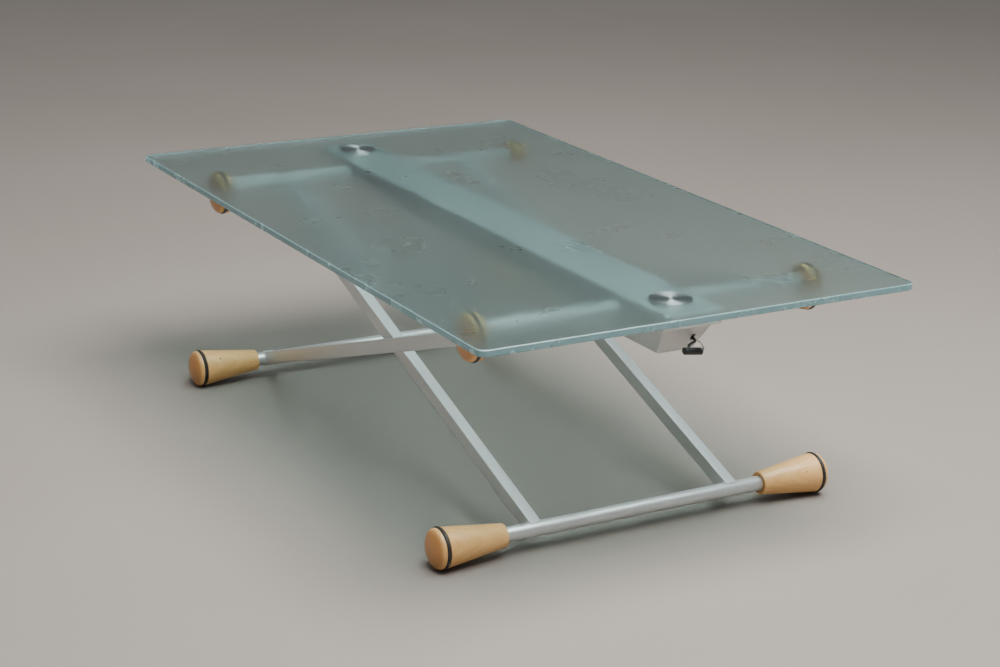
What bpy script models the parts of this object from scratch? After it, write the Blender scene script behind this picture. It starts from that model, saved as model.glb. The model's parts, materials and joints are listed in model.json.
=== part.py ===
"""Height-adjustable scissor table: a frosted glass top on a folded steel beam, two crossed leg frames,
turned beech wheels on the floor and turned beech rollers under the glass.

Frame: X along the table, Y across it, Z up, origin on the floor under the middle of the glass. Metres.
The outer frame runs from the far floor axle up to the near top axle. The inner frame runs from the
near floor axle up to the far top axle. The two frames cross at mid length on two bolts.
"""

from math import cos, pi, radians, sin, tan

import bmesh
import bpy
from mathutils import Matrix, Vector

# Clearances, and how many sides the round pieces have
GAP = 0.0003
RUNNING = 0.0004
WHEEL_SIDES = 20
TUBE_SIDES = 20
RING_SIDES = 24
RING_WIRE_SIDES = 6

# Glass top
GLASS_LENGTH = 1.200
GLASS_WIDTH = 0.750
GLASS_THICK = 0.0104
GLASS_CORNER = 0.015
GLASS_ARRIS = 0.0010
TOP_HEIGHT = 0.3872

# Wheels, rollers and their rubber rings
WHEEL_RADIUS = 0.0327
RING_WIRE = 0.0030
RING_SEAT = WHEEL_RADIUS - 2 * RING_WIRE - GAP
FLOOR_RING_Y = 0.3390
TOP_RING_Y = 0.2970
CONE_LENGTH = 0.107
CONE_SMALL_RADIUS = 0.0180
CONE_BIG_RADIUS = 0.0312
DOME_HEIGHT = 0.0120
GROOVE_HALF = RING_WIRE + 0.0004
CONE_SOCKET = 0.015
BORE_END = 0.0040
EDGE = 0.0008
PIN_OFFSET = 0.030
PIN_RADIUS = 0.0020
PIN_SUNK = 0.0080
PIN_FACING = {"far_left": 45, "far_right": 160, "near_left": 215, "near_right": 31}
ROLLER_INNER = 0.012
ROLLER_FACE_STEP = 0.0025
RIM_STEP = 0.0012

# Tubes, axles and legs
TUBE_RADIUS = 0.0116
TUBE_WALL = 0.0020
AXLE_RADIUS = 0.0092
AXLE_WALL = 0.0015
AXLE_SPAN = 0.4394
LEG_WIDTH = 0.0190
LEG_HEIGHT = 0.0235
LEG_WALL = 0.0020
OUTER_LEG_Y = 0.2070
INNER_LEG_Y = 0.1780
PIVOT_RADIUS = 0.0060
PIVOT_HEAD_RADIUS = 0.0085
PIVOT_HEAD_THICK = 0.0040
PIVOT_INSERT_RADIUS = 0.0092

# Beam under the glass
BEAM_HALF_TOP = 0.0490
BEAM_HALF_BOTTOM = 0.0310
BEAM_DEPTH = 0.0685
BEAM_SHEET = 0.0025
BEAM_END_TOP = 0.5620
BEAM_END_BOTTOM = 0.5155
TOP_PLATE_HALF = 0.0490
TOP_PLATE_END = 0.5605
TOP_PLATE_THICK = 0.0030
TOP_PLATE_LIP = 0.0130
SLOT_MARGIN = 0.0020
LOW_ANGLE = radians(13.9)
HIGH_ANGLE = radians(47.2)

# Glass fixings
DISC_X = 0.5010
DISC_RADIUS = 0.0325
DISC_THICK = 0.0050
DISC_EDGE = 0.0004
DISC_SIDES = 36
PAD_THICK = 0.0004
PAD_INSET = 0.0005
STUD_RADIUS = 0.0050
STUD_PAST_NUT = 0.0030
NUT_RADIUS = 0.0095
NUT_THICK = 0.0050

# Gas spring, bearing block and slider
BLOCK_LENGTH = 0.0400
BLOCK_DEPTH = 0.0480
BLOCK_SIDE_GAP = 0.0005
SPRING_RADIUS = 0.0110
SPRING_WALL = 0.0015
SPRING_TAIL = 0.3950
SPRING_MOUTH = -0.0200
SPRING_ROD_RADIUS = 0.0040
SPRING_ROD_TIP = 0.0300

# Release lever
LEVER_X = 0.5105
LEVER_DROP = 0.0430
LEVER_EYE_RADIUS = 0.0050
LEVER_PIN_RADIUS = 0.0020
TAIL_OFFSET = 0.0035
TAIL_HALF = 0.0015
TAIL_BELOW_ROD = 0.0035
RELEASE_ROD_DROP = 0.0600
RELEASE_ROD_RADIUS = 0.0015
RELEASE_ROD_PLAY = 0.0008
GRIP_X = 0.5500
GRIP_Y = 0.0085
GRIP_DROP = 0.0593
GRIP_TILT = radians(8)
GRIP_RADIUS = 0.0055
GRIP_LENGTH = 0.0320
ARM_Y = 0.0205
ARM_JOIN_Y = 0.0010
ARM_WIDTH = 0.0040
ARM_THICK = 0.0032
ARM_OPENING = 0.0010
BAIL_RADIUS = 0.0010

# Worked out from the sizes above
GLASS_UNDER = TOP_HEIGHT - GLASS_THICK
FLOOR_Z = WHEEL_RADIUS
TOP_Z = GLASS_UNDER - GAP - WHEEL_RADIUS
DISC_HIGH = GLASS_UNDER - GAP - PAD_THICK - GAP
DISC_LOW = DISC_HIGH - DISC_THICK
PLATE_TOP = DISC_LOW - GAP
CHANNEL_TOP = PLATE_TOP - TOP_PLATE_THICK - GAP
MIDDLE_Z = (FLOOR_Z + TOP_Z) / 2
RISE = TOP_Z - FLOOR_Z
LEG_AXIS = Vector((2 * AXLE_SPAN, 0, RISE)).length
REST_ANGLE = Vector((2 * AXLE_SPAN, RISE)).angle_signed(Vector((1, 0)))
BEAM_BOTTOM = GLASS_UNDER - BEAM_DEPTH
LEVER_Z = GLASS_UNDER - LEVER_DROP
GRIP_Z = GLASS_UNDER - GRIP_DROP
RELEASE_ROD_Z = GLASS_UNDER - RELEASE_ROD_DROP
TAIL_X = LEVER_X - TAIL_OFFSET

HUBS = {
    "far_floor": (-AXLE_SPAN, 0, FLOOR_Z),
    "near_floor": (AXLE_SPAN, 0, FLOOR_Z),
    "far_top": (-AXLE_SPAN, 0, TOP_Z),
    "near_top": (AXLE_SPAN, 0, TOP_Z),
    "scissor": (0, 0, MIDDLE_Z),
    "lever": (LEVER_X, 0, LEVER_Z),
}

MATERIALS = {
    "beech": ((0.640, 0.390, 0.180), 0.45, 0.0),
    "rubber": (0.02, 0.7, 0.0),
    "silver_paint": ((0.56, 0.57, 0.57), 0.38, 0.7),
    "frosted_glass": ((0.42, 0.56, 0.55), 0.5, 0.0),
    "brushed_steel": ((0.60, 0.60, 0.61), 0.28, 1.0),
    "zinc_steel": ((0.50, 0.50, 0.50), 0.35, 1.0),
    "chrome": ((0.75, 0.75, 0.76), 0.10, 1.0),
    "black_plastic": (0.015, 0.45, 0.0),
    "black_paint": (0.020, 0.35, 0.0),
    "nylon": (0.75, 0.55, 0.0),
    "clear_pad": (0.80, 0.30, 0.0),
}


def clear_scene():
    for item in list(bpy.data.objects):
        bpy.data.objects.remove(item, do_unlink=True)


def material(name):
    made = bpy.data.materials.get(name)
    if made is None:
        color, roughness, metallic = MATERIALS[name]
        if isinstance(color, float):
            color = (color, color, color)
        made = bpy.data.materials.new(name)
        made.use_nodes = True
        shader = made.node_tree.nodes["Principled BSDF"]
        shader.inputs["Base Color"].default_value = (*color, 1.0)
        shader.inputs["Roughness"].default_value = roughness
        shader.inputs["Metallic"].default_value = metallic
    return made


def make_hubs():
    """One empty on each joint axis; the pieces hang on these."""
    for name, place in HUBS.items():
        hub = bpy.data.objects.new("hub_" + name, None)
        hub.location = place
        bpy.context.collection.objects.link(hub)


def add_object(name, shape, slot, hub=None, smooth=False):
    """Turn a bmesh in world coordinates into a named object on its hub."""
    bmesh.ops.recalc_face_normals(shape, faces=shape.faces)
    mesh = bpy.data.meshes.new(name)
    shape.to_mesh(mesh)
    shape.free()
    if smooth:
        mesh.shade_smooth()
        mesh.set_sharp_from_angle(angle=radians(35))
    mesh.materials.append(material(slot))
    item = bpy.data.objects.new(name, mesh)
    bpy.context.collection.objects.link(item)
    if hub:
        mesh.transform(Matrix.Translation(-Vector(HUBS[hub])))
        item.parent = bpy.data.objects["hub_" + hub]
    return item


def cut(item, tool, operation="DIFFERENCE"):
    """Subtract the bmesh tool, given in world coordinates, from item, or join the two as one body."""
    bmesh.ops.recalc_face_normals(tool, faces=tool.faces)
    mesh = bpy.data.meshes.new("tool")
    tool.to_mesh(mesh)
    tool.free()
    cutter = bpy.data.objects.new("tool", mesh)
    bpy.context.collection.objects.link(cutter)
    step = item.modifiers.new("cut", "BOOLEAN")
    step.operation = operation
    step.solver = "EXACT"
    step.object = cutter
    graph = bpy.context.evaluated_depsgraph_get()
    shaped = bpy.data.meshes.new_from_object(item.evaluated_get(graph), depsgraph=graph)
    item.modifiers.clear()
    item.data = shaped
    bpy.data.objects.remove(cutter, do_unlink=True)


def lathe(profile, centre, side, segments, loop=False):
    """Turn (distance along the axis, radius) points about a line parallel to Y through centre.

    side is -1 or 1 and sets which way the distance runs. A point of radius 0 closes the end.
    """
    shape = bmesh.new()
    rows = []
    for along, radius in profile:
        y = centre[1] + side * along
        if radius == 0:
            rows.append([shape.verts.new((centre[0], y, centre[2]))])
            continue
        row = []
        for step in range(segments):
            angle = 2 * pi * step / segments - pi / 2
            x, z = centre[0] + radius * cos(angle), centre[2] + radius * sin(angle)
            row.append(shape.verts.new((x, y, z)))
        rows.append(row)
    pairs = list(zip(rows, rows[1:]))
    if loop:
        pairs.append((rows[-1], rows[0]))
    for first, second in pairs:
        for step in range(segments):
            after = (step + 1) % segments
            if len(first) == 1:
                shape.faces.new((first[0], second[step], second[after]))
            elif len(second) == 1:
                shape.faces.new((first[step], first[after], second[0]))
            else:
                shape.faces.new((first[step], first[after], second[after], second[step]))
    return shape


def rod_shape(start, end, radius, segments=16):
    """A plain round bar between two points."""
    start, end = Vector(start), Vector(end)
    shape = bmesh.new()
    turn = (end - start).to_track_quat("Z", "Y").to_matrix().to_4x4()
    bmesh.ops.create_cone(
        shape,
        cap_ends=True,
        segments=segments,
        radius1=radius,
        radius2=radius,
        depth=(end - start).length,
        matrix=Matrix.Translation((start + end) / 2) @ turn,
    )
    return shape


def box_shape(low, high):
    shape = bmesh.new()
    size = Vector(high) - Vector(low)
    middle = (Vector(high) + Vector(low)) / 2
    bmesh.ops.create_cube(shape, size=1.0, matrix=Matrix.Translation(middle) @ Matrix.Diagonal((*size, 1)))
    return shape


def loft(loops):
    """Bridge equal-length loops of points and cap both ends."""
    shape = bmesh.new()
    rows = [[shape.verts.new(point) for point in row] for row in loops]
    count = len(rows[0])
    for first, second in zip(rows, rows[1:]):
        for step in range(count):
            after = (step + 1) % count
            shape.faces.new((first[step], first[after], second[after], second[step]))
    shape.faces.new(rows[0])
    shape.faces.new(rows[-1][::-1])
    return shape


def rounded_rectangle(half_x, half_y, corner, z, steps=5):
    points = []
    for sx, sy, start in ((1, 1, 0), (-1, 1, 90), (-1, -1, 180), (1, -1, 270)):
        for step in range(steps + 1):
            angle = radians(start + 90 * step / steps)
            x = sx * (half_x - corner) + corner * cos(angle)
            y = sy * (half_y - corner) + corner * sin(angle)
            points.append((x, y, z))
    return points


def side_name(side):
    return "left" if side < 0 else "right"


def torus_profile():
    """Section of a rubber ring, centred on its own plane."""
    middle = WHEEL_RADIUS - RING_WIRE
    profile = []
    for step in range(RING_WIRE_SIDES):
        angle = 2 * pi * step / RING_WIRE_SIDES
        profile.append((RING_WIRE * sin(angle), middle + RING_WIRE * cos(angle)))
    return profile


def dome_profile(start, radius, height, steps=3):
    """Quarter ellipse from the rim to the axis."""
    rows = []
    for step in range(steps + 1):
        angle = pi / 2 * step / steps
        edge = 0 if step == steps else radius * cos(angle)
        rows.append((start + height * sin(angle), edge))
    return rows


def rim_profile():
    """Groove for the rubber ring, then the domed end. Distance 0 is the ring's plane."""
    outside = GROOVE_HALF + RIM_STEP
    profile = [(-GROOVE_HALF, CONE_BIG_RADIUS), (-GROOVE_HALF, RING_SEAT)]
    profile += [(GROOVE_HALF, RING_SEAT), (GROOVE_HALF, CONE_BIG_RADIUS - 0.0002)]
    return profile + dome_profile(outside, CONE_BIG_RADIUS - 0.0006, DOME_HEIGHT)


def floor_wheel(name, hub, side):
    """Long turned cone with a socket for the tube, a blind bore for the axle and a rubber ring."""
    centre = (HUBS[hub][0], side * FLOOR_RING_Y, HUBS[hub][2])
    socket = TUBE_RADIUS + 0.0010
    bore = AXLE_RADIUS + RUNNING
    small = -CONE_LENGTH
    profile = [(-BORE_END, 0), (-BORE_END, bore), (small + CONE_SOCKET, bore)]
    profile += [(small + CONE_SOCKET, socket), (small, socket), (small, CONE_SMALL_RADIUS - EDGE)]
    profile += [(small + EDGE, CONE_SMALL_RADIUS)]
    shape = lathe(profile + rim_profile(), centre, side, WHEEL_SIDES)
    cone = add_object(name + "_cone", shape, "beech", hub, smooth=True)
    facing = radians(PIN_FACING[name])
    outward = Vector((cos(facing), 0, sin(facing)))
    foot = Vector((centre[0], centre[1] - side * PIN_OFFSET, centre[2]))
    surface = cone_radius_at(PIN_OFFSET)
    cut(cone, rod_shape(foot, foot + outward * 2 * surface, PIN_RADIUS + GAP))
    pin = rod_shape(foot + outward * (bore + GAP), foot + outward * (surface - PIN_SUNK), PIN_RADIUS)
    add_object(name + "_pin", pin, "zinc_steel", hub, smooth=True)
    ring = lathe(torus_profile(), centre, side, RING_SIDES, loop=True)
    add_object(name + "_ring", ring, "rubber", hub, smooth=True)


def cone_radius_at(offset):
    """Outer radius of the cone at a distance inboard of the ring's plane."""
    run = CONE_LENGTH - GROOVE_HALF
    share = (offset - GROOVE_HALF) / run
    return CONE_BIG_RADIUS + (CONE_SMALL_RADIUS - CONE_BIG_RADIUS) * share


def top_roller(name, hub, side):
    """Short turned roller under the glass: flat inner face, rubber ring, domed outer end."""
    centre = (HUBS[hub][0], side * TOP_RING_Y, HUBS[hub][2])
    bore = AXLE_RADIUS + RUNNING
    face_radius = CONE_BIG_RADIUS - ROLLER_FACE_STEP
    profile = [(-BORE_END, 0), (-BORE_END, bore), (-ROLLER_INNER, bore), (-ROLLER_INNER, face_radius)]
    profile += [(-ROLLER_INNER + ROLLER_FACE_STEP, CONE_BIG_RADIUS)]
    shape = lathe(profile + rim_profile(), centre, side, WHEEL_SIDES)
    add_object(name + "_roller", shape, "beech", hub, smooth=True)
    ring = lathe(torus_profile(), centre, side, RING_SIDES, loop=True)
    add_object(name + "_ring", ring, "rubber", hub, smooth=True)


def round_tube(name, hub, half_length, outer, inner, slot):
    """Round tube across the table; the cross tubes and the axle sleeves inside them are both made here."""
    profile = [(-half_length, inner), (-half_length, outer), (half_length, outer), (half_length, inner)]
    shape = lathe(profile, HUBS[hub], 1, TUBE_SIDES, loop=True)
    add_object(name, shape, slot, hub, smooth=True)


def cross_tubes_and_axles():
    """Each cross tube turns on a sleeve axle that carries a wheel or roller at both ends."""
    sleeve = AXLE_RADIUS - AXLE_WALL
    bore = AXLE_RADIUS + RUNNING
    floor_axle = FLOOR_RING_Y - BORE_END - 0.0010
    top_axle = TOP_RING_Y - BORE_END - 0.0010
    floor_tube = FLOOR_RING_Y - CONE_LENGTH + CONE_SOCKET - 0.0010
    top_tube = TOP_RING_Y - ROLLER_INNER - 0.0006
    for end in ("far", "near"):
        round_tube(end + "_floor_tube", end + "_floor", floor_tube, TUBE_RADIUS, bore, "silver_paint")
        round_tube(end + "_floor_axle", end + "_floor", floor_axle, AXLE_RADIUS, sleeve, "zinc_steel")
        round_tube(end + "_top_tube", end + "_top", top_tube, TUBE_RADIUS, bore, "silver_paint")
        round_tube(end + "_top_axle", end + "_top", top_axle, AXLE_RADIUS, sleeve, "zinc_steel")


def wheels_and_rollers():
    for end in ("far", "near"):
        for side in (-1, 1):
            floor_wheel(end + "_" + side_name(side), end + "_floor", side)
            top_roller(end + "_top_" + side_name(side), end + "_top", side)


def leg_shape(y, lean):
    """Hollow rectangular tube along the line between two axles. lean 1 rises towards +X."""
    shape = bmesh.new()
    along = Vector((cos(REST_ANGLE), 0, lean * sin(REST_ANGLE)))
    upright = Vector((-lean * sin(REST_ANGLE), 0, cos(REST_ANGLE)))
    rows = []
    for inset, ends in ((0, (-1, 1)), (LEG_WALL, (1, -1))):
        for end in ends:
            middle = Vector((0, y, MIDDLE_Z)) + along * (end * LEG_AXIS / 2)
            row = []
            for sy, sz in ((-1, -1), (1, -1), (1, 1), (-1, 1)):
                sideways = Vector((0, sy * (LEG_WIDTH / 2 - inset), 0))
                row.append(shape.verts.new(middle + sideways + upright * (sz * (LEG_HEIGHT / 2 - inset))))
            rows.append(row)
    for index, first in enumerate(rows):
        second = rows[(index + 1) % len(rows)]
        for step in range(4):
            after = (step + 1) % 4
            shape.faces.new((first[step], first[after], second[after], second[step]))
    return shape


def tube_cutter(hub, y, clearance):
    x, _, z = HUBS[hub]
    return rod_shape((x, y - LEG_WIDTH, z), (x, y + LEG_WIDTH, z), TUBE_RADIUS + clearance, TUBE_SIDES)


def legs():
    """Outer legs rise from the far floor tube, inner legs from the near one; ends coped to the tubes."""
    for side in (-1, 1):
        outer = add_object("outer_leg_" + side_name(side), leg_shape(side * OUTER_LEG_Y, 1), "silver_paint")
        inner = add_object("inner_leg_" + side_name(side), leg_shape(side * INNER_LEG_Y, -1), "silver_paint")
        for leg, y, ends in (
            (outer, side * OUTER_LEG_Y, ("far_floor", "near_top")),
            (inner, side * INNER_LEG_Y, ("near_floor", "far_top")),
        ):
            for hub in ends:
                cut(leg, tube_cutter(hub, y, GAP))
        hole = PIVOT_RADIUS + RUNNING
        before, after = side * INNER_LEG_Y - LEG_WIDTH, side * INNER_LEG_Y + LEG_WIDTH
        cut(inner, rod_shape((0, before, MIDDLE_Z), (0, after, MIDDLE_Z), hole, 20))
        mouth = side * (OUTER_LEG_Y - LEG_WIDTH)
        cut(outer, rod_shape((0, mouth, MIDDLE_Z), (0, side * OUTER_LEG_Y, MIDDLE_Z), hole, 20))
        for leg in (outer, inner):
            leg.data.transform(Matrix.Translation(-Vector(HUBS["scissor"])))
            leg.parent = bpy.data.objects["hub_scissor"]


def pivots():
    """Shoulder bolt through the inner leg into an insert inside the outer leg, with a spacer between."""
    inner_face = INNER_LEG_Y - LEG_WIDTH / 2 - GAP
    gap_start = INNER_LEG_Y + LEG_WIDTH / 2 + GAP
    gap_end = OUTER_LEG_Y - LEG_WIDTH / 2 - GAP
    insert_start = gap_end + GAP + LEG_WALL + GAP
    insert_end = OUTER_LEG_Y + LEG_WIDTH / 2 - LEG_WALL - GAP
    shank_end = OUTER_LEG_Y + 0.004
    for side in (-1, 1):
        name = side_name(side)
        head = inner_face - PIVOT_HEAD_THICK
        bolt = [(head, 0), (head, PIVOT_HEAD_RADIUS - 0.001), (head + 0.001, PIVOT_HEAD_RADIUS)]
        bolt += [(inner_face, PIVOT_HEAD_RADIUS), (inner_face, PIVOT_RADIUS)]
        bolt += [(shank_end, PIVOT_RADIUS), (shank_end, 0)]
        shape = lathe(bolt, HUBS["scissor"], side, 20)
        add_object("pivot_bolt_" + name, shape, "zinc_steel", "scissor", smooth=True)
        for piece, start, end, outer, slot in (
            ("pivot_spacer_", gap_start, gap_end, PIVOT_HEAD_RADIUS + 0.001, "nylon"),
            ("pivot_insert_", insert_start, insert_end, PIVOT_INSERT_RADIUS, "zinc_steel"),
        ):
            inner = PIVOT_RADIUS + RUNNING
            profile = [(start, inner), (start, outer), (end, outer), (end, inner)]
            shape = lathe(profile, HUBS["scissor"], side, 20, loop=True)
            add_object(piece + name, shape, slot, "scissor", smooth=True)


def stand_up(shape, x, y):
    """Turn a lathed shape so that its axis points up, at x, y."""
    bmesh.ops.rotate(shape, verts=shape.verts, cent=(0, 0, 0), matrix=Matrix.Rotation(pi / 2, 3, "X"))
    bmesh.ops.translate(shape, verts=shape.verts, vec=(x, y, 0))
    return shape


def glass_top():
    """Plate with polished edges and rounded corners."""
    half_x, half_y = GLASS_LENGTH / 2, GLASS_WIDTH / 2
    loops = []
    for inset, z in ((GLASS_ARRIS, GLASS_UNDER), (0, GLASS_UNDER + GLASS_ARRIS)):
        loops.append(rounded_rectangle(half_x - inset, half_y - inset, GLASS_CORNER, z))
    for inset, z in ((0, TOP_HEIGHT - GLASS_ARRIS), (GLASS_ARRIS, TOP_HEIGHT)):
        loops.append(rounded_rectangle(half_x - inset, half_y - inset, GLASS_CORNER, z))
    add_object("glass_top", loft(loops), "frosted_glass", "near_top")


def glass_fixings():
    """Steel disc bonded under the glass by a clear layer; its stud goes through the plate to a nut."""
    pad_low, pad_high = DISC_HIGH + GAP, GLASS_UNDER - GAP
    nut_high = PLATE_TOP - TOP_PLATE_THICK - GAP
    nut_low = nut_high - NUT_THICK
    stud_low = nut_low - STUD_PAST_NUT
    bore = STUD_RADIUS + GAP
    for end, x in (("far", -DISC_X), ("near", DISC_X)):
        disc = [(stud_low, 0), (stud_low, STUD_RADIUS), (DISC_LOW, STUD_RADIUS), (DISC_LOW, DISC_RADIUS)]
        disc += [(DISC_HIGH - DISC_EDGE, DISC_RADIUS), (DISC_HIGH, DISC_RADIUS - DISC_EDGE), (DISC_HIGH, 0)]
        shape = stand_up(lathe(disc, (0, 0, 0), 1, DISC_SIDES), x, 0)
        add_object(end + "_glass_disc", shape, "brushed_steel", "near_top", smooth=True)
        edge = DISC_RADIUS - PAD_INSET
        pad = [(pad_low, 0), (pad_low, edge), (pad_high, edge), (pad_high, 0)]
        shape = stand_up(lathe(pad, (0, 0, 0), 1, DISC_SIDES), x, 0)
        add_object(end + "_disc_pad", shape, "clear_pad", "near_top", smooth=True)
        hexagon = bore / cos(radians(30))
        nut = [(nut_low, hexagon), (nut_low, NUT_RADIUS), (nut_high, NUT_RADIUS), (nut_high, hexagon)]
        shape = stand_up(lathe(nut, (0, 0, 0), 1, 6, True), x, 0)
        add_object(end + "_disc_nut", shape, "zinc_steel", "near_top")


def beam_half_width(z):
    """Outer half width of the folded channel at a height."""
    share = (z - BEAM_BOTTOM) / BEAM_DEPTH
    return BEAM_HALF_BOTTOM + (BEAM_HALF_TOP - BEAM_HALF_BOTTOM) * share


def beam_inner_half(z):
    slant = Vector((BEAM_HALF_TOP - BEAM_HALF_BOTTOM, BEAM_DEPTH)).length / BEAM_DEPTH
    return beam_half_width(z) - BEAM_SHEET * slant


def beam_end(z):
    """How far the slanted end reaches along X at a height."""
    share = (z - BEAM_BOTTOM) / BEAM_DEPTH
    return BEAM_END_BOTTOM + (BEAM_END_TOP - BEAM_END_BOTTOM) * share


def stadium_cutter(start, end, z, radius):
    """Round-ended slot through both side walls of the beam."""
    outline = []
    for centre, first in ((end, -90), (start, 90)):
        for step in range(9):
            angle = radians(first + 180 * step / 8)
            outline.append((centre + radius * cos(angle), z + radius * sin(angle)))
    reach = BEAM_HALF_TOP + 0.01
    return loft([[(x, y, height) for x, height in outline] for y in (-reach, reach)])


def far_top_travel():
    """Where the far top tube stands along X at the lowest and the highest setting."""
    return AXLE_SPAN - LEG_AXIS * cos(LOW_ANGLE), AXLE_SPAN - LEG_AXIS * cos(HIGH_ANGLE)


def beam_channel():
    """Folded channel of trapezoid section, ends cut back at a slant, holes for both top tubes."""
    floor = BEAM_BOTTOM + BEAM_SHEET
    section = [(-beam_half_width(CHANNEL_TOP), CHANNEL_TOP), (-BEAM_HALF_BOTTOM, BEAM_BOTTOM)]
    section += [(BEAM_HALF_BOTTOM, BEAM_BOTTOM), (beam_half_width(CHANNEL_TOP), CHANNEL_TOP)]
    section += [(beam_inner_half(CHANNEL_TOP), CHANNEL_TOP), (beam_inner_half(floor), floor)]
    section += [(-beam_inner_half(floor), floor), (-beam_inner_half(CHANNEL_TOP), CHANNEL_TOP)]
    loops = [[(side * beam_end(z), y, z) for y, z in section] for side in (-1, 1)]
    channel = add_object("beam_channel", loft(loops), "silver_paint")
    low, high = far_top_travel()
    radius = TUBE_RADIUS + 0.0010
    cut(channel, stadium_cutter(low - SLOT_MARGIN, high + SLOT_MARGIN, TOP_Z, radius))
    cut(channel, stadium_cutter(AXLE_SPAN, AXLE_SPAN + 0.0001, TOP_Z, radius))


def beam_top_plate():
    """Plate under the glass with a lip folded down at both ends."""
    end, high = TOP_PLATE_END, PLATE_TOP
    under, lip = high - TOP_PLATE_THICK, high - TOP_PLATE_LIP
    inside = end - TOP_PLATE_THICK
    outline = [(-end, high), (end, high), (end, lip), (inside, lip), (inside, under)]
    outline += [(-inside, under), (-inside, lip), (-end, lip)]
    shape = loft([[(x, y, z) for x, z in outline] for y in (-TOP_PLATE_HALF, TOP_PLATE_HALF)])
    plate = add_object("beam_top_plate", shape, "silver_paint")
    for x in (-DISC_X, DISC_X):
        cut(plate, rod_shape((x, 0, lip), (x, 0, TOP_HEIGHT), STUD_RADIUS + GAP, 20))


def beam_end_plate(name, side):
    """Slanted plate that closes one end of the channel."""
    low, high = BEAM_BOTTOM + BEAM_SHEET + GAP, CHANNEL_TOP
    loops = []
    for depth in (0.0003, 0.0003 + BEAM_SHEET):
        row = []
        for z, sign in ((low, -1), (low, 1), (high, 1), (high, -1)):
            row.append((side * (beam_end(z) - depth), sign * (beam_inner_half(z) - GAP), z))
        loops.append(row)
    return add_object(name, loft(loops), "silver_paint")


def block_shape(x):
    """Block of the channel's inner section, with room at its walls."""
    low, high = PLATE_TOP - BLOCK_DEPTH, CHANNEL_TOP - 0.0005
    loops = []
    for end in (x - BLOCK_LENGTH / 2, x + BLOCK_LENGTH / 2):
        row = []
        for z, sign in ((low, -1), (low, 1), (high, 1), (high, -1)):
            row.append((end, sign * (beam_inner_half(z) - BLOCK_SIDE_GAP), z))
        loops.append(row)
    return loft(loops)


def tube_blocks():
    """The near block holds the near top tube; the far one slides in the channel with the far top tube."""
    for name, hub in (("near_bearing_block", "near_top"), ("far_slider_block", "far_top")):
        x, _, z = HUBS[hub]
        block = add_object(name, block_shape(x), "nylon")
        reach = BEAM_HALF_TOP
        cut(block, rod_shape((x, -reach, z), (x, reach, z), TUBE_RADIUS + RUNNING, TUBE_SIDES))


def aim_along_x(shape, z):
    """Turn a lathed shape so that its axis points along X at height z on the middle line."""
    bmesh.ops.rotate(shape, verts=shape.verts, cent=(0, 0, 0), matrix=Matrix.Rotation(-pi / 2, 3, "Z"))
    bmesh.ops.translate(shape, verts=shape.verts, vec=(0, 0, z))
    return shape


def gas_spring():
    """Cylinder fixed to the near bearing block; its rod is drawn in and out by the far slider."""
    tail, mouth = SPRING_TAIL, SPRING_MOUTH
    inside, bore = SPRING_RADIUS - SPRING_WALL, SPRING_ROD_RADIUS + RUNNING
    profile = [(tail - 0.015, 0), (tail - 0.015, inside), (mouth + 0.012, inside), (mouth + 0.012, bore)]
    profile += [(mouth, bore), (mouth, SPRING_RADIUS - 0.001), (mouth + 0.001, SPRING_RADIUS)]
    profile += [(tail - 0.001, SPRING_RADIUS), (tail, SPRING_RADIUS - 0.001), (tail, 0)]
    shape = aim_along_x(lathe(profile, (0, 0, 0), 1, 24), TOP_Z)
    add_object("spring_cylinder", shape, "black_paint", smooth=True)
    block_face = AXLE_SPAN - BLOCK_LENGTH / 2 - GAP
    shape = rod_shape((tail + GAP, 0, TOP_Z), (block_face, 0, TOP_Z), SPRING_ROD_RADIUS + 0.002)
    add_object("spring_anchor", shape, "zinc_steel", smooth=True)
    slider_face = -AXLE_SPAN + BLOCK_LENGTH / 2 + GAP
    shape = rod_shape((slider_face, 0, TOP_Z), (SPRING_ROD_TIP, 0, TOP_Z), SPRING_ROD_RADIUS)
    add_object("spring_rod", shape, "chrome", smooth=True)


def sweep(points, radius, sides=8):
    """Round wire through points, with closed ends."""
    points = [Vector(point) for point in points]
    shape = bmesh.new()
    rows = []
    across = Vector((0, 1, 0.01)).normalized()
    for index, point in enumerate(points):
        before, after = points[max(index - 1, 0)], points[min(index + 1, len(points) - 1)]
        tangent = (after - before).normalized()
        across = (across - tangent * across.dot(tangent)).normalized()
        up = tangent.cross(across)
        row = []
        for step in range(sides):
            angle = 2 * pi * step / sides
            row.append(shape.verts.new(point + (across * cos(angle) + up * sin(angle)) * radius))
        rows.append(row)
    for first, second in zip(rows, rows[1:]):
        for step in range(sides):
            after = (step + 1) % sides
            shape.faces.new((first[step], first[after], second[after], second[step]))
    shape.faces.new(rows[0])
    shape.faces.new(rows[-1][::-1])
    return shape


def smooth_path(points, steps=4):
    """Catmull-Rom curve through the points."""
    points = [Vector(point) for point in points]
    padded = [points[0] * 2 - points[1]] + points + [points[-1] * 2 - points[-2]]
    path = []
    for a, b, c, d in zip(padded, padded[1:], padded[2:], padded[3:]):
        for step in range(steps):
            t = step / steps
            square, cube = 2 * a - 5 * b + 4 * c - d, 3 * b - a - 3 * c + d
            path.append((2 * b + (c - a) * t + square * t**2 + cube * t**3) / 2)
    return path + [points[-1]]


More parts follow.
